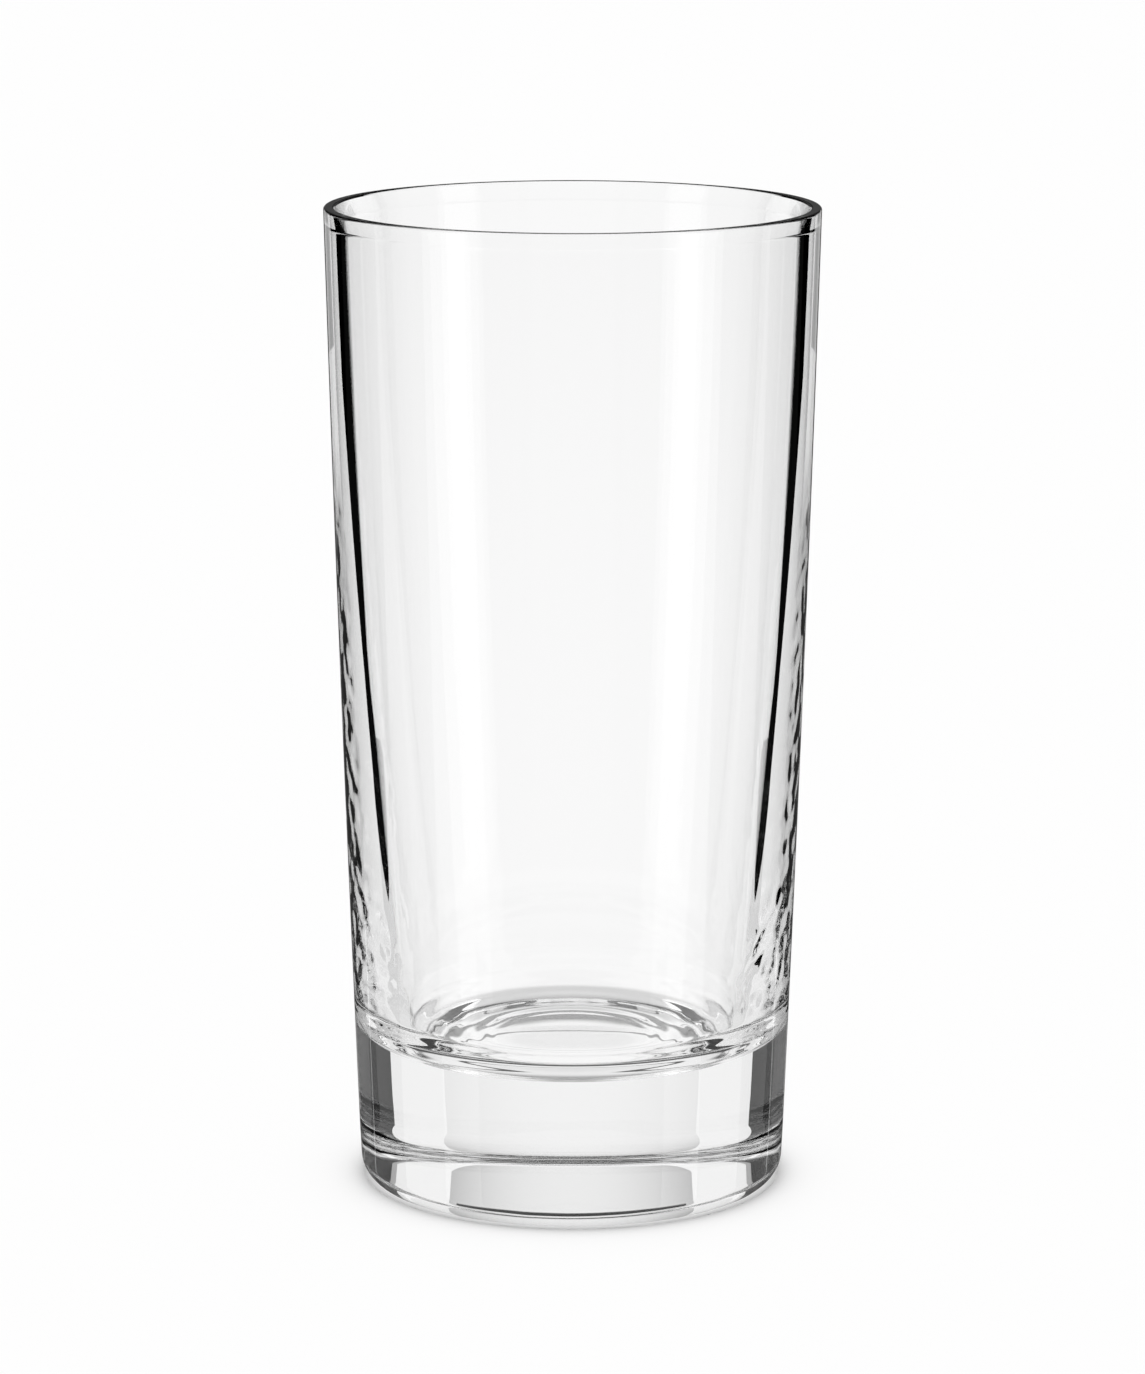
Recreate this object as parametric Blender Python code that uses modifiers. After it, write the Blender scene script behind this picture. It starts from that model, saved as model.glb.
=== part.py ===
"""Straight-sided drinking glass: one turned piece, with a heavy solid foot and a lip bevelled on its inside.

Metres, +Z up the axis of the glass, origin at the centre of the underside.
"""

import math

import bpy

# Driving dimensions of the outside
HEIGHT = 0.1504
RIM_DIAMETER = 0.0750
FOOT_DIAMETER = 0.0655
SIDE_BOW = 0.00027
HEEL_RADIUS = 0.0040
HEEL_TURN = math.radians(55.0)
FOOT_EDGE_RADIUS = 0.0005

# Driving dimensions of the inside
RIM_WALL = 0.0031
FOOT_WALL = 0.0070
WALL_TAPER = 2.1
FLOOR_THICKNESS = 0.0207
WELL_RADIUS = 0.0090

# Driving dimensions of the lip
LIP_WIDTH = 0.0016
LIP_BEVEL_HEIGHT = 0.0023
LIP_EDGE_RADIUS = 0.0004

# Fineness of the facets
TURN_STEPS = 72
WALL_STEPS = 14
SIDE_STEPS = 8
WELL_STEPS = 8
LIP_STEPS = 4
HEEL_STEPS = 5
FOOT_EDGE_STEPS = 3

# Look of clear glass
GLASS_COLOUR = (0.97, 0.98, 0.98, 1.0)
GLASS_ROUGHNESS = 0.01
GLASS_IOR = 1.52

MERGE_DISTANCE = 0.00001

RIM_RADIUS = RIM_DIAMETER / 2.0
FOOT_RADIUS = FOOT_DIAMETER / 2.0
LIP_EDGE_HEIGHT = HEIGHT - LIP_EDGE_RADIUS
BEVEL_START = HEIGHT - LIP_BEVEL_HEIGHT
HEEL_HEIGHT = FOOT_EDGE_RADIUS + (HEEL_RADIUS - FOOT_EDGE_RADIUS) * math.sin(HEEL_TURN)
SIDE_LENGTH = LIP_EDGE_HEIGHT - HEEL_HEIGHT


def clear_scene():
    for item in list(bpy.data.objects):
        bpy.data.objects.remove(item, do_unlink=True)


def side_share(z):
    """How far up the outer side a height lies, from 0 at the heel to 1 at the lip."""
    return (z - HEEL_HEIGHT) / SIDE_LENGTH


def outer_radius(z):
    """The outer side is a straight cone with a slight outward bow."""
    share = side_share(z)
    cone = FOOT_RADIUS + (RIM_RADIUS - FOOT_RADIUS) * share
    return cone + SIDE_BOW * 4.0 * share * (1.0 - share)


def outer_slope(z):
    """Change of the outer radius with height."""
    widening = RIM_RADIUS - FOOT_RADIUS
    return (widening + SIDE_BOW * 4.0 * (1.0 - 2.0 * side_share(z))) / SIDE_LENGTH


def arc(centre, radius, start, end, steps):
    """Points of a round stretch, in (radius, height), from one angle to another."""
    points = []
    for step in range(steps + 1):
        angle = start + (end - start) * step / steps
        r = centre[0] + radius * math.cos(angle)
        z = centre[1] + radius * math.sin(angle)
        points.append((r, z))
    return points


def inside_points():
    """From the middle of the floor, round the well and up the inner wall to the bevel."""
    full_depth = BEVEL_START - FLOOR_THICKNESS - WELL_RADIUS
    thickening = FOOT_WALL - RIM_WALL
    slope = outer_slope(FLOOR_THICKNESS + WELL_RADIUS) + thickening * WALL_TAPER / full_depth
    lean = math.atan(slope)

    well_top = FLOOR_THICKNESS + WELL_RADIUS * (1.0 - math.sin(lean))
    well_centre = (
        outer_radius(well_top) - FOOT_WALL - WELL_RADIUS * math.cos(lean),
        FLOOR_THICKNESS + WELL_RADIUS,
    )
    points = [(0.0, FLOOR_THICKNESS)]
    points += arc(well_centre, WELL_RADIUS, -math.pi / 2.0, -lean, WELL_STEPS)

    wall_depth = BEVEL_START - well_top
    for step in range(1, WALL_STEPS):
        z = well_top + wall_depth * step / WALL_STEPS
        share = (BEVEL_START - z) / wall_depth
        wall = RIM_WALL + thickening * share ** WALL_TAPER
        points.append((outer_radius(z) - wall, z))
    return points


def lip_points():
    """Up the bevel, over the narrow top of the lip and round its outer edge."""
    start = (outer_radius(BEVEL_START) - RIM_WALL, BEVEL_START)
    lean = math.atan2(RIM_RADIUS - LIP_WIDTH - start[0], LIP_BEVEL_HEIGHT)
    bevel_end = HEIGHT - LIP_EDGE_RADIUS * (1.0 - math.sin(lean))
    inner_edge = start[0] + (bevel_end - BEVEL_START) * math.tan(lean)

    inner_centre = (inner_edge + LIP_EDGE_RADIUS * math.cos(lean), LIP_EDGE_HEIGHT)
    outer_centre = (RIM_RADIUS - LIP_EDGE_RADIUS, LIP_EDGE_HEIGHT)
    points = [start]
    points += arc(inner_centre, LIP_EDGE_RADIUS, math.pi - lean, math.pi / 2.0, LIP_STEPS)
    points += arc(outer_centre, LIP_EDGE_RADIUS, math.pi / 2.0, 0.0, LIP_STEPS)
    return points


def outside_points():
    """Down the outer side, round the heel and the tighter edge of the foot, and in along the flat underside."""
    lean = math.atan(outer_slope(HEEL_HEIGHT))
    heel_centre = (FOOT_RADIUS - HEEL_RADIUS, HEEL_HEIGHT)
    heel_top = HEEL_HEIGHT - HEEL_RADIUS * math.sin(lean)
    edge_inset = (HEEL_RADIUS - FOOT_EDGE_RADIUS) * math.cos(HEEL_TURN)
    edge_centre = (heel_centre[0] + edge_inset, FOOT_EDGE_RADIUS)

    points = []
    for step in range(1, SIDE_STEPS):
        z = LIP_EDGE_HEIGHT - (LIP_EDGE_HEIGHT - heel_top) * step / SIDE_STEPS
        points.append((outer_radius(z), z))
    points += arc(heel_centre, HEEL_RADIUS, -lean, -HEEL_TURN, HEEL_STEPS)
    points += arc(edge_centre, FOOT_EDGE_RADIUS, -HEEL_TURN, -math.pi / 2.0, FOOT_EDGE_STEPS)[1:]
    points.append((0.0, 0.0))
    return points


def glass_material():
    material = bpy.data.materials.new("clear_glass")
    material.use_nodes = True
    shader = material.node_tree.nodes["Principled BSDF"]
    shader.inputs["Base Color"].default_value = GLASS_COLOUR
    shader.inputs["Metallic"].default_value = 0.0
    shader.inputs["Roughness"].default_value = GLASS_ROUGHNESS
    shader.inputs["IOR"].default_value = GLASS_IOR
    shader.inputs["Transmission Weight"].default_value = 1.0
    return material


def turned_piece(name, profile, collection):
    """One closed solid, made by turning a profile about the Z axis."""
    mesh = bpy.data.meshes.new(name)
    vertices = [(r, 0.0, z) for r, z in profile]
    edges = [(index, index + 1) for index in range(len(profile) - 1)]
    mesh.from_pydata(vertices, edges, [])

    piece = bpy.data.objects.new(name, mesh)
    collection.objects.link(piece)
    screw = piece.modifiers.new("turn", "SCREW")
    screw.axis = "Z"
    screw.steps = TURN_STEPS
    screw.render_steps = TURN_STEPS
    screw.use_merge_vertices = True
    screw.merge_threshold = MERGE_DISTANCE
    screw.use_smooth_shade = True
    return piece


def main():
    clear_scene()
    collection = bpy.data.collections.new("highball_tumbler")
    bpy.context.scene.collection.children.link(collection)

    profile = inside_points() + lip_points() + outside_points()
    tumbler = turned_piece("glass_tumbler", profile, collection)
    tumbler.data.materials.append(glass_material())


main()
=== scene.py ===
"""Looks of a straight-sided drinking glass: a finely turned body of clear glass on a white table.

Metres, +Z up the axis of the glass, origin at the centre of its underside.
"""

import math

import bpy
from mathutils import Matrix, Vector, noise


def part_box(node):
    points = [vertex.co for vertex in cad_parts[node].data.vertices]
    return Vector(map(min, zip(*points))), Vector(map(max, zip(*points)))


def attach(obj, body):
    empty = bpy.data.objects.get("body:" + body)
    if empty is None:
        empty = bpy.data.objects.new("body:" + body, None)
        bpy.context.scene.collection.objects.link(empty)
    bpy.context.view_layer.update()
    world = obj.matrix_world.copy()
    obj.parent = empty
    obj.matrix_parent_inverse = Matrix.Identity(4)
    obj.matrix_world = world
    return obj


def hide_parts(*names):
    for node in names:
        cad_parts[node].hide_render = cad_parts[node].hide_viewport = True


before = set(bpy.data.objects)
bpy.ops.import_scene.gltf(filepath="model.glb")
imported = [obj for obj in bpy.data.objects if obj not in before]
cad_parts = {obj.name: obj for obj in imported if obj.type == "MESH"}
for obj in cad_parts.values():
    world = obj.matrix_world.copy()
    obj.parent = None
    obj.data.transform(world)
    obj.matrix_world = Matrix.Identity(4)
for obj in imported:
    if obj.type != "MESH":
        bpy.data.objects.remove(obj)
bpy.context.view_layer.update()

# Sizes of the glass: the overall ones come from the glass in model.glb, the rest are those of the solid
GLASS_TOP_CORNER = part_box("glass_tumbler")[1]
HEIGHT = GLASS_TOP_CORNER.z
RIM_RADIUS = GLASS_TOP_CORNER.x
FOOT_RADIUS = 0.03275
SIDE_BOW = 0.00027
HEEL_RADIUS = 0.0040
HEEL_TURN = math.radians(55.0)
FOOT_EDGE_RADIUS = 0.0005
RIM_WALL = 0.0031
FOOT_WALL = 0.0070
WALL_TAPER = 2.1
FLOOR_THICKNESS = 0.0207
WELL_RADIUS = 0.0090
LIP_WIDTH = 0.0016
LIP_BEVEL_HEIGHT = 0.0023
LIP_EDGE_RADIUS = 0.0004
LIP_EDGE_HEIGHT = HEIGHT - LIP_EDGE_RADIUS
BEVEL_START = HEIGHT - LIP_BEVEL_HEIGHT
HEEL_HEIGHT = FOOT_EDGE_RADIUS + (HEEL_RADIUS - FOOT_EDGE_RADIUS) * math.sin(HEEL_TURN)
SIDE_LENGTH = LIP_EDGE_HEIGHT - HEEL_HEIGHT

# Waves in the inner wall, kept to its two sides, where x is most of the radius
WAVE_HEIGHT = 0.00009
WAVE_LENGTH = 0.003
FINE_WAVE_LENGTH = 0.0015
FINE_WAVE_SHARE = 0.5
WAVE_NONE_BELOW = 0.025
WAVE_LOW_HEIGHT = 0.034
WAVE_HIGH_HEIGHT = 0.050
WAVE_FULL_BELOW = 0.075
WAVE_NONE_ABOVE = 0.115
WAVE_SIDE_LOW = 0.80
WAVE_SIDE_HIGH = 0.955
WAVE_SIDE_FADE = 0.035
WAVE_LOW_GAIN = 1.4

# Slight dents round the heel, on the outside
DENT_DEPTH = 0.00004
DENT_LENGTH = 0.0045
DENT_FULL_BELOW = 0.004
DENT_NONE_ABOVE = 0.008
DENT_NONE_WITHIN = 0.0295
DENT_FULL_BEYOND = 0.0305

# Shallow rings round the floor and the well, placed by the way along the inside from its middle
RING_HEIGHT = 0.00005
RING_SPACING = 0.0030
RING_NONE_BEFORE = 0.0115
RING_FULL_FROM = 0.0135
RING_FULL_TO = 0.028
RING_NONE_AFTER = 0.034

# Fineness of the turned mesh
TURN_STEPS = 288
FLOOR_STEPS = 80
WELL_STEPS = 72
WALL_STEPS = 160
BEVEL_STEPS = 4
LIP_STEPS = 16
SIDE_STEPS = 60
HEEL_STEPS = 20

# Clear glass with faint smears; the margin takes in the foot of the bevel, but not the round edge of the lip
GLASS_IOR = 1.52
GLASS_ABSORPTION = 1.4
SMEAR_SCALE = 90.0
SMEAR_DETAIL = 3.0
SMEAR_FROM = 0.45
SMEAR_FULL = 0.75
SMEAR_ROUGHNESS = 0.012
BEVEL_MARGIN = 0.0002

# Sockets of a Mix node that blends vectors; they go by number, because others share their names
MIX_FACTOR = 0
MIX_FROM = 4
MIX_TO = 5
MIX_RESULT = 1

# Camera, fitted to the rim, sides and foot of the glass in the photograph
IMAGE_HEIGHT_PX = 1374.0
FOCAL_PX = 5260.5
CAMERA_DISTANCE = 0.790
CAMERA_HEIGHT = 0.23645
CAMERA_SIDE = -0.000135
CAMERA_PITCH = 0.19972
CAMERA_ROLL = -0.0013
SENSOR_WIDTH_MM = 36.0

# The table, and the low ring that casts the shadow of the foot on it
TABLE_HALF = 4.0
TABLE_LEVEL = 0.99
SHADOW_RADIUS = 0.0322
SHADOW_HEIGHT = 0.0024

# Most times that light is followed: in all, mirrored, and through the glass
MAX_BOUNCES = 32
MIRRORED_BOUNCES = 16
THROUGH_BOUNCES = 16

# Light meets the glass a whole number of times, so a limit lies half a step above a count
HALF_STEP = 0.5

# Slope from which light counts as rising
RISING = 0.10

# Cards: a level of 0 is black and 1 is white, and bearings are degrees from straight behind the glass
BLACK = 0.0
HALF_TURN = 180.0
FULL_TURN = 360.0
DISC_CORNERS = 64
SCREEN_STEPS = 12

# Black card on each side behind the glass, which its wall mirrors: height, near edge and far edge
EDGE_CARD_PLANE = 0.090
EDGE_CARD_OUTLINE = (
    (0.260, 0.092, 0.140),
    (0.140, 0.092, 0.140),
    (0.105, 0.093, 0.140),
    (0.060, 0.111, 0.138),
    (0.040, 0.120, 0.138),
    (0.030, 0.123, 0.142),
    (0.016, 0.128, 0.152),
    (0.008, 0.129, 0.175),
    (0.001, 0.132, 0.185),
    (-0.008, 0.138, 0.185),
    (-0.014, 0.144, 0.180),
    (-0.019, 0.149, 0.172),
    (-0.0245, 0.156, 0.163),
)

# Low dark cards on each side, which the solid foot shows at its edges: two bearings and a level
LOW_DISTANCE = 0.100
LOW_HEIGHTS = (-0.030, 0.045)
LOW_CARDS = (
    (30.0, 38.0, 0.09),
    (38.0, 44.0, 0.03),
    (44.0, 62.0, 0.10),
)

# Screens round the glass: two bearings, two heights, level by way of the glass and level off its outside
SCREEN_DISTANCE = 1.2
SCREEN_BOTTOM = -0.9
SCREEN_SPLIT = 0.15
SCREEN_TOP = 0.9
SCREENS = (
    (46.0, 61.0, SCREEN_BOTTOM, SCREEN_SPLIT, 0.80, 0.02),
    (61.0, 78.0, SCREEN_BOTTOM, SCREEN_SPLIT, 0.45, 0.03),
    (46.0, 49.0, SCREEN_SPLIT, SCREEN_TOP, 0.45, 0.45),
    (49.0, 78.0, SCREEN_SPLIT, SCREEN_TOP, 0.03, 0.03),
    (78.0, 108.0, SCREEN_BOTTOM, SCREEN_TOP, 0.64, 0.64),
    (108.0, 130.0, SCREEN_BOTTOM, SCREEN_TOP, 1.30, 1.30),
    (130.0, 180.0, SCREEN_BOTTOM, SCREEN_TOP, 0.72, 0.72),
)

# Panel behind the glass: its level, and how much of it is lost at its sides, low down and high up
BACK_BEARING = 25.2
BACK_LOW = -0.28
BACK_HIGH = 0.36
BACK_LEVEL_LOW = 1.0
BACK_LEVEL_HIGH = 0.93
BACK_LOSS_LOW = 0.13
BACK_LOSS_HIGH = 0.40

# Dark card on each side that only the outside mirrors, at its very edge
OUTLINE_DISTANCE = 1.1
OUTLINE_START = 4.0
OUTLINE_END = 15.0
OUTLINE_LEVEL = 0.1

# Dark card next to it that only the outside mirrors, fading out upwards
FLANK_END = 45.0
FLANK_LEVEL = 0.05
FLANK_FULL_BELOW = -0.11
FLANK_CLEAR_ABOVE = -0.06

# Dark ring and lid above the glass that only its lip mirrors
LIP_RING_DISTANCE = 1.15
LIP_RING_LOW = 0.21
LIP_RING_HIGH = 0.95
LIP_RING_LEVEL = 0.03

# Black card behind the glass, fading out upwards, which makes the dark smile along the front of the heel
SMILE_DISTANCE = 0.5
SMILE_BEARING = 22.0
SMILE_LOW = 0.050
SMILE_HIGH = 0.120
SMILE_FULL_BELOW = 0.098
SMILE_CLEAR_ABOVE = 0.116

# Card far below, with a dark middle: how much it darkens for light that hardly met the glass
FLOOR_CARD_RADIUS = 0.9
FLOOR_CARD_HEIGHT = -0.8
FLOOR_DARK_WITHIN = 0.46
FLOOR_WHITE_BEYOND = 0.78
FLOOR_DARK_LEVEL = 0.63
FLOOR_LIP_DROP = 0.58
FLOOR_HEEL_DROP = 0.9

# Card overhead, with a dark middle, which darkens the crease over the foot and the line of the far heel
ROOF_RADIUS = 0.40
ROOF_HEIGHT = 0.95
ROOF_DARK_WITHIN = 0.30
ROOF_DARK_LEVEL = 0.1

# The table under the foot as the glass shows it: a dark ring of painted contact shadow where the foot
# touches, a thin dark line inside it, and a greyer middle of painted shade
CONTACT_RADIUS = 0.0315
CONTACT_HEIGHT = -0.0005
CONTACT_RING_FROM = 0.0255
CONTACT_RING_FULL = 0.0280
CONTACT_RING_LEVEL = 0.08
CONTACT_LINE_RADIUS = 0.0216
CONTACT_LINE_HALF = 0.0002
CONTACT_LINE_FADE = 0.0006
CONTACT_LINE_LEVEL = 0.1
CONTACT_GREY_WITHIN = 0.008
CONTACT_GREY_LEVEL = 0.4
CONTACT_PALE_BEYOND = 0.024
CONTACT_PALE_LEVEL = 0.95


class Shade:
    """One output socket of a node tree; arithmetic on it adds Math nodes."""

    def __init__(self, tree, socket=None):
        self.tree = tree
        self.socket = socket

    def node(self, kind, settings=None, sockets=None, output=0):
        """Makes any node: its settings first, then the values or links of its sockets."""
        made = self.tree.nodes.new(kind)
        for name, value in (settings or {}).items():
            setattr(made, name, value)
        for name, value in (sockets or {}).items():
            self.feed(made.inputs[name], value)
        return Shade(self.tree, made.outputs[output])

    def feed(self, socket, value):
        """Links another socket to this one, or sets a plain value on it."""
        if isinstance(value, Shade):
            self.tree.links.new(value.socket, socket)
        else:
            socket.default_value = value

    def math(self, operation, first, second=0.0):
        return self.node("ShaderNodeMath", {"operation": operation}, {0: first, 1: second})

    def ramp(self, low, high, start, end):
        """Eases from the start value at low to the end value at high."""
        return self.node("ShaderNodeMapRange", {"interpolation_type": "SMOOTHSTEP"}, {
            "Value": self, "From Min": low, "From Max": high, "To Min": start, "To Max": end,
        })

    def __add__(self, other):
        return self.math("ADD", self, other)

    def __radd__(self, other):
        return self.math("ADD", other, self)

    def __sub__(self, other):
        return self.math("SUBTRACT", self, other)

    def __rsub__(self, other):
        return self.math("SUBTRACT", other, self)

    def __mul__(self, other):
        return self.math("MULTIPLY", self, other)

    def __rmul__(self, other):
        return self.math("MULTIPLY", other, self)

    def __gt__(self, other):
        return self.math("GREATER_THAN", self, other)

    def __lt__(self, other):
        return self.math("LESS_THAN", self, other)


def side_share(z):
    """How far up the outer side a height lies, from 0 at the heel to 1 at the lip."""
    return (z - HEEL_HEIGHT) / SIDE_LENGTH


def outer_radius(z):
    """The outer side is a straight cone with a slight outward bow."""
    share = side_share(z)
    cone = FOOT_RADIUS + (RIM_RADIUS - FOOT_RADIUS) * share
    return cone + SIDE_BOW * 4.0 * share * (1.0 - share)


def outer_slope(z):
    """Change of the outer radius with height."""
    widening = RIM_RADIUS - FOOT_RADIUS
    return (widening + SIDE_BOW * 4.0 * (1.0 - 2.0 * side_share(z))) / SIDE_LENGTH


def arc(centre, radius, start, end, steps):
    """Points of a round stretch, in (radius, height), from one angle to another."""
    points = []
    for step in range(steps + 1):
        angle = start + (end - start) * step / steps
        points.append((centre[0] + radius * math.cos(angle), centre[1] + radius * math.sin(angle)))
    return points


def inside_points():
    """From the middle of the floor, round the well and up the inner wall to the bevel."""
    full_depth = BEVEL_START - FLOOR_THICKNESS - WELL_RADIUS
    thickening = FOOT_WALL - RIM_WALL
    slope = outer_slope(FLOOR_THICKNESS + WELL_RADIUS) + thickening * WALL_TAPER / full_depth
    lean = math.atan(slope)

    well_top = FLOOR_THICKNESS + WELL_RADIUS * (1.0 - math.sin(lean))
    well_centre = (
        outer_radius(well_top) - FOOT_WALL - WELL_RADIUS * math.cos(lean),
        FLOOR_THICKNESS + WELL_RADIUS,
    )
    points = [(well_centre[0] * step / FLOOR_STEPS, FLOOR_THICKNESS) for step in range(FLOOR_STEPS)]
    points += arc(well_centre, WELL_RADIUS, -math.pi / 2.0, -lean, WELL_STEPS)

    wall_depth = BEVEL_START - well_top
    for step in range(1, WALL_STEPS):
        z = well_top + wall_depth * step / WALL_STEPS
        share = (BEVEL_START - z) / wall_depth
        wall = RIM_WALL + thickening * share ** WALL_TAPER
        points.append((outer_radius(z) - wall, z))
    return points


def lip_points():
    """Up the bevel, over the narrow top of the lip and round its outer edge."""
    start = (outer_radius(BEVEL_START) - RIM_WALL, BEVEL_START)
    lean = math.atan2(RIM_RADIUS - LIP_WIDTH - start[0], LIP_BEVEL_HEIGHT)
    bevel_rise = LIP_EDGE_HEIGHT + LIP_EDGE_RADIUS * math.sin(lean) - BEVEL_START
    points = []
    for step in range(BEVEL_STEPS):
        rise = bevel_rise * step / BEVEL_STEPS
        points.append((start[0] + rise * math.tan(lean), BEVEL_START + rise))

    inner_edge = start[0] + bevel_rise * math.tan(lean)
    inner_centre = (inner_edge + LIP_EDGE_RADIUS * math.cos(lean), LIP_EDGE_HEIGHT)
    outer_centre = (RIM_RADIUS - LIP_EDGE_RADIUS, LIP_EDGE_HEIGHT)
    points += arc(inner_centre, LIP_EDGE_RADIUS, math.pi - lean, math.pi / 2.0, LIP_STEPS)
    points += arc(outer_centre, LIP_EDGE_RADIUS, math.pi / 2.0, 0.0, LIP_STEPS)
    return points


def outside_points():
    """Down the outer side, round the heel and the tighter edge of the foot, and in along the underside."""
    lean = math.atan(outer_slope(HEEL_HEIGHT))
    heel_centre = (FOOT_RADIUS - HEEL_RADIUS, HEEL_HEIGHT)
    heel_top = HEEL_HEIGHT - HEEL_RADIUS * math.sin(lean)
    edge_inset = (HEEL_RADIUS - FOOT_EDGE_RADIUS) * math.cos(HEEL_TURN)
    edge_centre = (heel_centre[0] + edge_inset, FOOT_EDGE_RADIUS)

    points = []
    for step in range(1, SIDE_STEPS):
        z = LIP_EDGE_HEIGHT - (LIP_EDGE_HEIGHT - heel_top) * step / SIDE_STEPS
        points.append((outer_radius(z), z))
    points += arc(heel_centre, HEEL_RADIUS, -lean, -HEEL_TURN, HEEL_STEPS)
    points += arc(edge_centre, FOOT_EDGE_RADIUS, -HEEL_TURN, -math.pi / 2.0, HEEL_STEPS)[1:]
    points.append((0.0, 0.0))
    return points


def share_between(value, low, high):
    """How far a value lies from low, 0, to high, 1, and no further."""
    return min(1.0, max(0.0, (value - low) / (high - low)))


def wave(place):
    """Waves of the inner wall: low down they are higher and reach further round from its two sides."""
    reach = Vector((place.x, place.y)).length
    height = share_between(place.z, WAVE_LOW_HEIGHT, WAVE_HIGH_HEIGHT)
    side = WAVE_SIDE_LOW + (WAVE_SIDE_HIGH - WAVE_SIDE_LOW) * height
    gain = WAVE_LOW_GAIN + (1.0 - WAVE_LOW_GAIN) * height

    share = share_between(place.z, WAVE_NONE_BELOW, WAVE_LOW_HEIGHT)
    share *= 1.0 - share_between(place.z, WAVE_FULL_BELOW, WAVE_NONE_ABOVE)
    share *= share_between(abs(place.x) / reach, side, side + WAVE_SIDE_FADE)

    coarse = noise.noise(place / WAVE_LENGTH)
    fine = noise.noise(place / FINE_WAVE_LENGTH)
    return WAVE_HEIGHT * gain * share * (coarse + FINE_WAVE_SHARE * fine)


def heel_dent(place):
    """Slight inward dents round the heel."""
    reach = Vector((place.x, place.y)).length
    share = 1.0 - share_between(place.z, DENT_FULL_BELOW, DENT_NONE_ABOVE)
    share *= share_between(reach, DENT_NONE_WITHIN, DENT_FULL_BEYOND)
    return DENT_DEPTH * share * (noise.noise(place / DENT_LENGTH) - 1.0)


def floor_ring(way):
    """Shallow rings round the floor and the well, at a way along the inside from its middle."""
    share = share_between(way, RING_NONE_BEFORE, RING_FULL_FROM)
    share *= 1.0 - share_between(way, RING_FULL_TO, RING_NONE_AFTER)
    return RING_HEIGHT * share * math.sin(math.tau * way / RING_SPACING)


def with_ways_and_facings(profile):
    """Each point of the inside, with the way to it along the profile and the direction it faces."""
    made = []
    way = 0.0
    for index, point in enumerate(profile):
        before = Vector(profile[max(index - 1, 0)])
        after = Vector(profile[min(index + 1, len(profile) - 1)])
        way += (Vector(point) - before).length
        along = (after - before).normalized()
        made.append((point, way, Vector((-along.y, along.x))))
    return made


def turned_ring(point):
    """The ring that a point of the profile makes about the axis: each place, and the way outward there."""
    r, z = point
    ring = []
    for step in range(TURN_STEPS):
        angle = math.tau * step / TURN_STEPS
        place = Vector((r * math.cos(angle), r * math.sin(angle), z))
        ring.append((place, Vector((math.cos(angle), math.sin(angle), 0.0))))
    return ring


def inside_ring(point, way, facing):
    """One ring of the inside, with its waves and floor rings."""
    up = Vector((0.0, 0.0, facing.y))
    raised = floor_ring(way)
    ring = []
    for place, outward in turned_ring(point):
        ring.append(place + (wave(place) + raised) * (facing.x * outward + up))
    return ring


def outside_ring(point):
    """One ring of the lip or the outside, with the dents of the heel."""
    return [place + heel_dent(place) * outward for place, outward in turned_ring(point)]


def turned_faces(ring_count):
    """Faces between neighbouring rings, closed by a fan of triangles at each end."""
    last_ring = 1 + (ring_count - 1) * TURN_STEPS
    end = last_ring + TURN_STEPS
    faces = []
    for step in range(TURN_STEPS):
        after = (step + 1) % TURN_STEPS
        faces.append((0, 1 + step, 1 + after))
        for low in range(1, last_ring, TURN_STEPS):
            high = low + TURN_STEPS
            faces.append((low + step, high + step, high + after, low + after))
        faces.append((last_ring + step, end, last_ring + after))
    return faces


def turned_mesh(name, inside, outside):
    """Turns a profile that starts and ends on the axis into one closed mesh."""
    rings = []
    for point, way, facing in with_ways_and_facings(inside)[1:]:
        rings.append(inside_ring(point, way, facing))
    for point in outside[:-1]:
        rings.append(outside_ring(point))

    vertices = [Vector((0.0, 0.0, inside[0][1]))]
    vertices += [place for ring in rings for place in ring]
    vertices.append(Vector((0.0, 0.0, outside[-1][1])))
    mesh = bpy.data.meshes.new(name)
    mesh.from_pydata(vertices, [], turned_faces(len(rings)))
    mesh.shade_smooth()
    return mesh


def strip_mesh(name, pairs):
    """A card between two rows of points."""
    mesh = bpy.data.meshes.new(name)
    corners = [Vector(corner) for pair in pairs for corner in pair]
    faces = [(2 * c, 2 * c + 2, 2 * c + 3, 2 * c + 1) for c in range(len(pairs) - 1)]
    mesh.from_pydata(corners, [], faces)
    return mesh


def screen_mesh(name, distance, bearings, heights, steps=SCREEN_STEPS):
    """An upright card that curves round the glass between two bearings and two heights."""
    start, end = bearings
    low, high = heights
    pairs = []
    for step in range(steps + 1):
        bearing = math.radians(start + (end - start) * step / steps)
        x = distance * math.sin(bearing)
        y = distance * math.cos(bearing)
        pairs.append(((x, y, low), (x, y, high)))
    return strip_mesh(name, pairs)


def disc_mesh(name, radius):
    """A flat round card."""
    mesh = bpy.data.meshes.new(name)
    ring = []
    for step in range(DISC_CORNERS):
        angle = math.tau * step / DISC_CORNERS
        ring.append((radius * math.cos(angle), radius * math.sin(angle), 0.0))
    mesh.from_pydata(ring, [], [tuple(range(DISC_CORNERS))])
    return mesh


def new_material(name):
    """An empty node material: returns it, a maker of its nodes and its output node."""
    material = bpy.data.materials.new(name)
    material.use_nodes = True
    tree = material.node_tree
    tree.nodes.clear()
    output = tree.nodes.new("ShaderNodeOutputMaterial")
    return material, Shade(tree), output


def grey(level):
    return (level, level, level, 1.0)


def own_place(make):
    """Coordinates of the shaded point in its object's own space."""
    return make.node("ShaderNodeTexCoord", output="Object")


def own(make, axis):
    """One of those coordinates: X, Y or Z."""
    return make.node("ShaderNodeSeparateXYZ", sockets={0: own_place(make)}, output=axis)


def length(make, vector):
    return make.node("ShaderNodeVectorMath", {"operation": "LENGTH"}, {0: vector}, output="Value")


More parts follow.
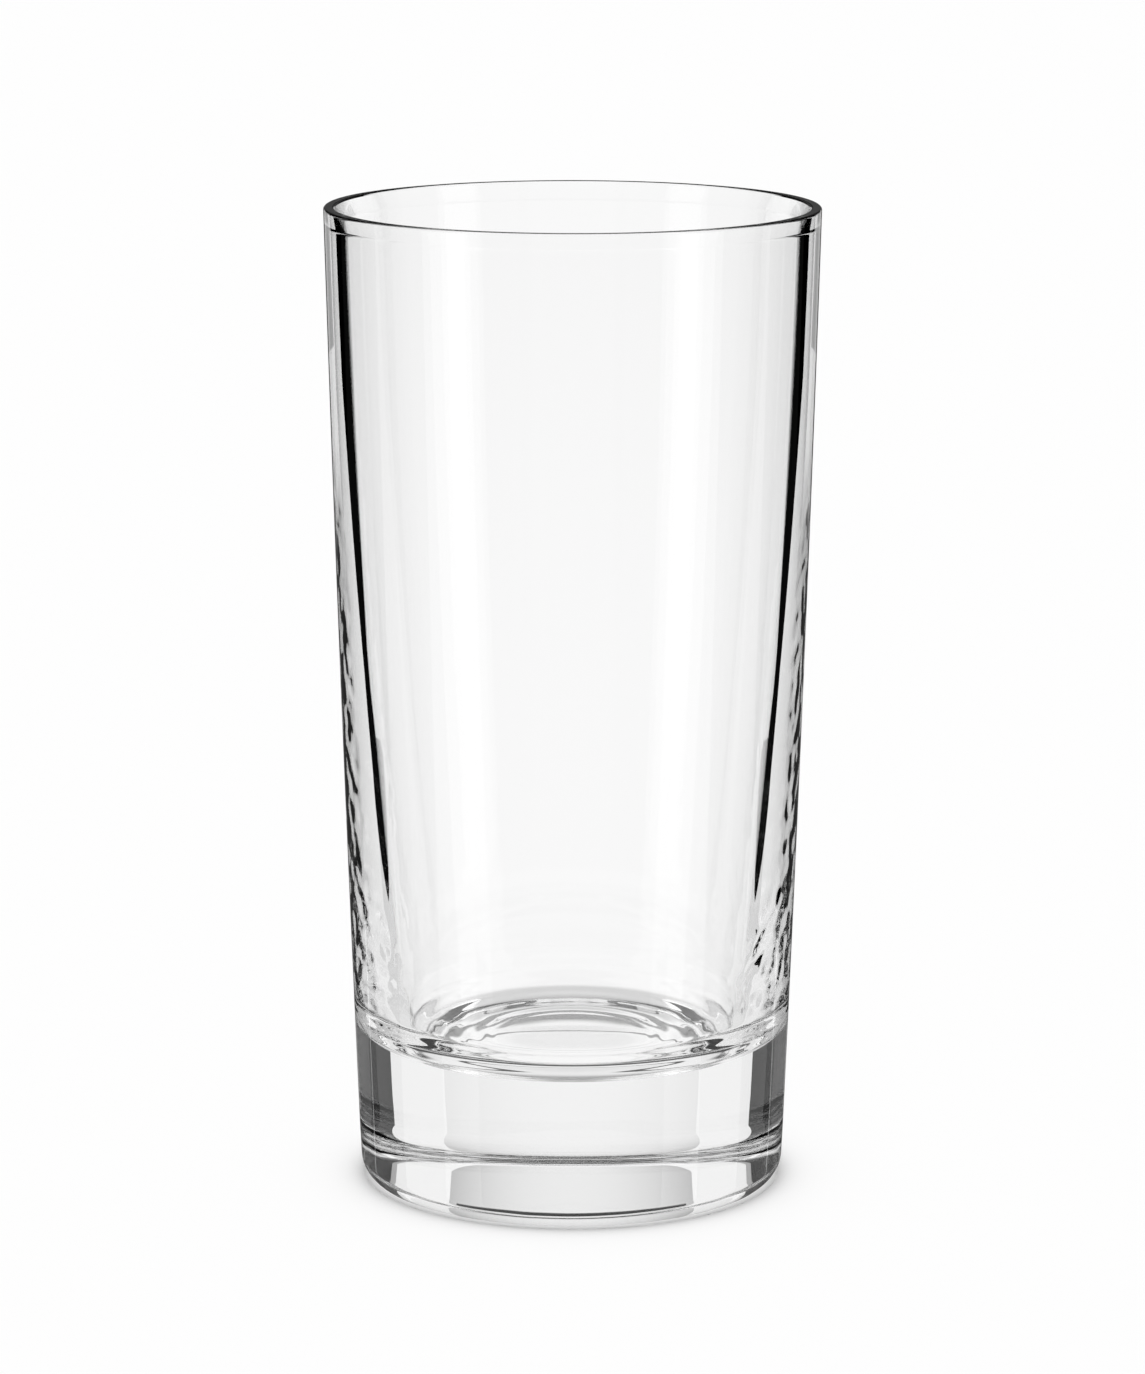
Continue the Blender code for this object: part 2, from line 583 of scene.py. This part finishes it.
def wall_facing(make):
    """Facing of the surface; the bevel inside the lip is shaded as if it faced like the wall below it."""
    flat = make.node("ShaderNodeCombineXYZ", sockets={"X": own(make, "X"), "Y": own(make, "Y"), "Z": 0.0})
    above_wall = own(make, "Z") > BEVEL_START - BEVEL_MARGIN
    inside_lip = length(make, flat) < RIM_RADIUS - LIP_WIDTH - BEVEL_MARGIN

    shape = make.node("ShaderNodeNewGeometry", output="Normal")
    behind = make.node("ShaderNodeNewGeometry", output="Backfacing")
    turn = 2.0 * behind - 1.0
    turned = make.node("ShaderNodeVectorMath", {"operation": "SCALE"}, {0: flat, "Scale": turn})
    inward = make.node("ShaderNodeVectorMath", {"operation": "NORMALIZE"}, {0: turned})
    mixed = {MIX_FACTOR: above_wall * inside_lip, MIX_FROM: shape, MIX_TO: inward}
    return make.node("ShaderNodeMix", {"data_type": "VECTOR"}, mixed, MIX_RESULT)


def clear_glass():
    """Clear soda-lime glass with a faintly smeared skin; a little light is lost in the thick foot."""
    material, make, output = new_material("clear_glass")
    smears = make.node("ShaderNodeTexNoise", sockets={
        "Vector": own_place(make),
        "Scale": SMEAR_SCALE,
        "Detail": SMEAR_DETAIL,
    })
    shader = make.node("ShaderNodeBsdfPrincipled", sockets={
        "Base Color": grey(1.0),
        "Roughness": smears.ramp(SMEAR_FROM, SMEAR_FULL, 0.0, SMEAR_ROUGHNESS),
        "IOR": GLASS_IOR,
        "Transmission Weight": 1.0,
        "Normal": wall_facing(make),
    })
    make.feed(output.inputs["Surface"], shader)
    loss = make.node("ShaderNodeVolumeAbsorption", sockets={
        "Color": grey(0.0),
        "Density": GLASS_ABSORPTION,
    })
    make.feed(output.inputs["Volume"], loss)
    return material


def white_table():
    """Matt white table."""
    material, make, output = new_material("white_table")
    matt = make.node("ShaderNodeBsdfDiffuse", sockets={"Color": grey(TABLE_LEVEL)})
    make.feed(output.inputs["Surface"], matt)
    return material


def glowing(name, level, shown=None):
    """Card of one level or of a level that varies over it, see-through where it isn't shown.

    Both are given as functions of the node maker.
    """
    material, make, output = new_material(name)
    glow = make.node("ShaderNodeEmission", sockets={"Color": level(make), "Strength": 1.0})
    if shown:
        clear = make.node("ShaderNodeBsdfTransparent")
        glow = make.node("ShaderNodeMixShader", sockets={0: shown(make), 1: clear, 2: glow})
    make.feed(output.inputs["Surface"], glow)
    return material


def times_met(make):
    """How often the light met the surface of the glass."""
    return make.node("ShaderNodeLightPath", output="Ray Depth")


def times_mirrored(make):
    """How often the light was mirrored there."""
    return make.node("ShaderNodeLightPath", output="Glossy Depth")


def more_than(count, times):
    return count > times + HALF_STEP


def at_most(count, times):
    return count < times + HALF_STEP


def met_exactly(make, times):
    """Light that met the surface of the glass this number of times."""
    count = times_met(make)
    return more_than(count, times - 1) * at_most(count, times)


def off_the_outside(make):
    """Light that the outside of the glass mirrors."""
    return at_most(times_met(make), 1)


def straight_through(make):
    """Light that goes in and out of the glass without being mirrored in it."""
    return met_exactly(make, 2)


def often_mirrored(make):
    return more_than(times_mirrored(make), 2)


def edge_light(make, rise):
    """Leaves out light mirrored often inside the wall, unless it rises, to keep the wall's edges black."""
    return 1.0 - often_mirrored(make) * (rise < RISING)


def plain(level):
    """The same level all over a card."""
    return lambda make: grey(level)


def screen_level(inner, outer):
    """One level for light by way of the glass, another for light off its outside."""
    return lambda make: inner + (outer - inner) * off_the_outside(make)


def back_level(make):
    """The back panel fades towards its sides, and more so higher up."""
    z = own(make, "Z")
    half_width = SCREEN_DISTANCE * math.sin(math.radians(BACK_BEARING))
    across = own(make, "X") * (1.0 / half_width)
    level = z.ramp(BACK_LOW, BACK_HIGH, BACK_LEVEL_LOW, BACK_LEVEL_HIGH)
    loss = z.ramp(BACK_LOW, BACK_HIGH, BACK_LOSS_LOW, BACK_LOSS_HIGH)
    rise = z * (1.0 / SCREEN_DISTANCE)
    return (level - loss * across * across) * edge_light(make, rise)


def floor_level(make):
    """Dark in the middle, more so for light that only crossed the lip, and behind for light off the heel."""
    crossed_lip = at_most(times_met(make), 2)
    dark = FLOOR_DARK_LEVEL - FLOOR_LIP_DROP * crossed_lip
    white = length(make, own_place(make)).ramp(FLOOR_DARK_WITHIN, FLOOR_WHITE_BEYOND, 0.0, 1.0)
    level = white * (1.0 - dark) + dark
    off_heel = off_the_outside(make) * (own(make, "Y") > 0.0)
    return level * (1.0 - often_mirrored(make)) * (1.0 - FLOOR_HEEL_DROP * off_heel)


def roof_level(make):
    return length(make, own_place(make)).ramp(ROOF_DARK_WITHIN, ROOF_RADIUS, ROOF_DARK_LEVEL, 1.0)


def painted_contact_shade(make):
    """White, but for the painted contact shadow of the dark ring, the thin dark line, and the middle painted
    greyer where light is mirrored on its way.
    """
    reach = length(make, own_place(make))
    ring = reach.ramp(CONTACT_RING_FROM, CONTACT_RING_FULL, 1.0, CONTACT_RING_LEVEL)
    off_line = make.math("ABSOLUTE", reach - CONTACT_LINE_RADIUS)
    line = off_line.ramp(CONTACT_LINE_HALF, CONTACT_LINE_FADE, CONTACT_LINE_LEVEL, 1.0)
    middle = reach.ramp(CONTACT_GREY_WITHIN, CONTACT_PALE_BEYOND, CONTACT_GREY_LEVEL, CONTACT_PALE_LEVEL)
    mirrored = more_than(times_mirrored(make), 0)
    return ring * line * (1.0 - mirrored * (1.0 - middle))


def flank_shown(make):
    """Only to the outside, and fading out upwards."""
    return off_the_outside(make) * own(make, "Z").ramp(FLANK_FULL_BELOW, FLANK_CLEAR_ABOVE, 1.0, 0.0)


def smile_shown(make):
    """Only to light that met the glass three times, and fading out upwards."""
    return met_exactly(make, 3) * own(make, "Z").ramp(SMILE_FULL_BELOW, SMILE_CLEAR_ABOVE, 1.0, 0.0)


def link(name, mesh, material):
    """An object of one mesh and one material in the scene."""
    piece = bpy.data.objects.new(name, mesh)
    bpy.context.scene.collection.objects.link(piece)
    piece.data.materials.append(material)
    return piece


def make_tumbler():
    """The glass itself; light passes through it to the table."""
    mesh = turned_mesh("tumbler", inside_points(), lip_points() + outside_points())
    tumbler = link("tumbler", mesh, clear_glass())
    tumbler.visible_diffuse = False
    tumbler.visible_shadow = False
    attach(tumbler, "root")
    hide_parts("glass_tumbler")


def make_camera():
    """The camera of the photograph."""
    lens = bpy.data.cameras.new("camera")
    lens.sensor_width = SENSOR_WIDTH_MM
    lens.lens = SENSOR_WIDTH_MM * FOCAL_PX / IMAGE_HEIGHT_PX
    camera = bpy.data.objects.new("camera", lens)
    camera.location = (CAMERA_SIDE, -CAMERA_DISTANCE, CAMERA_HEIGHT)
    camera.rotation_euler = (math.pi / 2.0 - CAMERA_PITCH, CAMERA_ROLL, 0.0)
    bpy.context.scene.collection.objects.link(camera)
    bpy.context.scene.camera = camera
    return camera


def make_table():
    """The table that the glass stands on; the glass shows the cards in its place."""
    left = ((-TABLE_HALF, -TABLE_HALF, 0.0), (-TABLE_HALF, TABLE_HALF, 0.0))
    right = ((TABLE_HALF, -TABLE_HALF, 0.0), (TABLE_HALF, TABLE_HALF, 0.0))
    table = link("table", strip_mesh("table", [left, right]), white_table())
    table.visible_glossy = False
    table.visible_transmission = False


def make_foot_shadow():
    """Light passes through the glass, so only the low edge of the foot shades the table."""
    mesh = screen_mesh("foot_shadow", SHADOW_RADIUS, (0.0, FULL_TURN), (0.0, SHADOW_HEIGHT), TURN_STEPS)
    core = link("foot_shadow", mesh, glowing("foot_shadow", plain(BLACK)))
    core.visible_camera = False
    core.visible_glossy = False
    core.visible_transmission = False


def make_stand(camera):
    """The stand that carries the studio cards; it turns about the glass to face the camera."""
    stand = bpy.data.objects.new("card_stand", None)
    bpy.context.scene.collection.objects.link(stand)
    turn = stand.constraints.new("LOCKED_TRACK")
    turn.target = camera
    turn.track_axis = "TRACK_NEGATIVE_Y"
    turn.lock_axis = "LOCK_Z"
    return stand


def hang_card(name, stand, mesh, material, height=0.0):
    """Hangs a studio card that only the glass sees."""
    card = link(name, mesh, material)
    card.parent = stand
    card.location.z = height
    card.visible_camera = False
    card.visible_diffuse = False
    card.visible_shadow = False
    card.visible_volume_scatter = False


def hang_screen(name, stand, distance, bearings, heights, level, shown=None):
    """Hangs an upright card that curves round the glass."""
    mesh = screen_mesh(name, distance, bearings, heights)
    hang_card(name, stand, mesh, glowing(name, level, shown))


def hang_disc(name, stand, radius, height, level, shown=None):
    """Hangs a flat round card above or below the glass."""
    hang_card(name, stand, disc_mesh(name, radius), glowing(name, level, shown), height)


def hang_edge_card(stand, side):
    """Black card that makes the black band down one side of the glass."""
    pairs = []
    for z, near, far in EDGE_CARD_OUTLINE:
        pairs.append(((side * near, EDGE_CARD_PLANE, z), (side * far, EDGE_CARD_PLANE, z)))
    hang_card("edge_card", stand, strip_mesh("edge_card", pairs), glowing("edge_card", plain(BLACK)))


def hang_low_cards(stand, side):
    """Dark cards that make the dark block at one end of the foot."""
    for start, end, level in LOW_CARDS:
        bearings = (side * start, side * end)
        hang_screen("low_card", stand, LOW_DISTANCE, bearings, LOW_HEIGHTS, plain(level), straight_through)


def hang_screens(stand, side):
    """Dark, grey and white screens from beside the back panel round to the front."""
    for start, end, bottom, top, inner, outer in SCREENS:
        bearings = (side * start, side * end)
        hang_screen("screen", stand, SCREEN_DISTANCE, bearings, (bottom, top), screen_level(inner, outer))


def hang_outline_card(stand, side):
    """Dark card that makes the thin outline of one side."""
    bearings = (side * OUTLINE_START, side * OUTLINE_END)
    heights = (SCREEN_BOTTOM, SCREEN_TOP)
    level = plain(OUTLINE_LEVEL)
    hang_screen("outline_card", stand, OUTLINE_DISTANCE, bearings, heights, level, off_the_outside)


def hang_flank_card(stand, side):
    """Dark card low beside the glass, next to the outline card."""
    bearings = (side * OUTLINE_END, side * FLANK_END)
    heights = (SCREEN_BOTTOM, SCREEN_TOP)
    level = plain(FLANK_LEVEL)
    hang_screen("flank_card", stand, OUTLINE_DISTANCE, bearings, heights, level, flank_shown)


def hang_lip_ring(stand, side):
    """One half of the dark ring above the glass."""
    bearings = (0.0, side * HALF_TURN)
    heights = (LIP_RING_LOW, LIP_RING_HIGH)
    level = plain(LIP_RING_LEVEL)
    hang_screen("lip_ring", stand, LIP_RING_DISTANCE, bearings, heights, level, off_the_outside)


def hang_middle_cards(stand):
    """The lid over the lip, the panel behind the glass, and the cards below and above it."""
    hang_disc("lip_lid", stand, LIP_RING_DISTANCE, LIP_RING_HIGH, plain(LIP_RING_LEVEL), off_the_outside)

    bearings = (-BACK_BEARING, BACK_BEARING)
    hang_screen("back_panel", stand, SCREEN_DISTANCE, bearings, (SCREEN_BOTTOM, SCREEN_TOP), back_level)

    bearings = (-SMILE_BEARING, SMILE_BEARING)
    heights = (SMILE_LOW, SMILE_HIGH)
    hang_screen("smile_card", stand, SMILE_DISTANCE, bearings, heights, plain(BLACK), smile_shown)

    hang_disc("floor_card", stand, FLOOR_CARD_RADIUS, FLOOR_CARD_HEIGHT, floor_level)
    hang_disc("roof_card", stand, ROOF_RADIUS, ROOF_HEIGHT, roof_level)
    # Painted contact shadow under the foot, seen only through the glass
    hang_disc("contact", stand, CONTACT_RADIUS, CONTACT_HEIGHT, painted_contact_shade)


def make_studio(stand):
    """All the cards on their stand."""
    for side in (-1.0, 1.0):
        hang_edge_card(stand, side)
        hang_low_cards(stand, side)
        hang_screens(stand, side)
        hang_outline_card(stand, side)
        hang_flank_card(stand, side)
        hang_lip_ring(stand, side)
    hang_middle_cards(stand)


def make_world():
    """A white room, dark to light mirrored often inside the wall unless it rises."""
    world = bpy.data.worlds.new("white_room")
    world.use_nodes = True
    tree = world.node_tree
    background = tree.nodes["Background"]
    make = Shade(tree)
    heading = make.node("ShaderNodeTexCoord", output="Generated")
    rise = make.node("ShaderNodeSeparateXYZ", sockets={0: heading}, output="Z")
    make.feed(background.inputs["Color"], edge_light(make, rise))
    background.inputs["Strength"].default_value = 1.0
    bpy.context.scene.world = world


def main():
    scene = bpy.context.scene
    scene.view_settings.view_transform = "Standard"
    scene.cycles.max_bounces = MAX_BOUNCES
    scene.cycles.glossy_bounces = MIRRORED_BOUNCES
    scene.cycles.transmission_bounces = THROUGH_BOUNCES
    camera = make_camera()
    make_world()
    make_table()
    make_foot_shadow()
    make_studio(make_stand(camera))
    make_tumbler()


main()
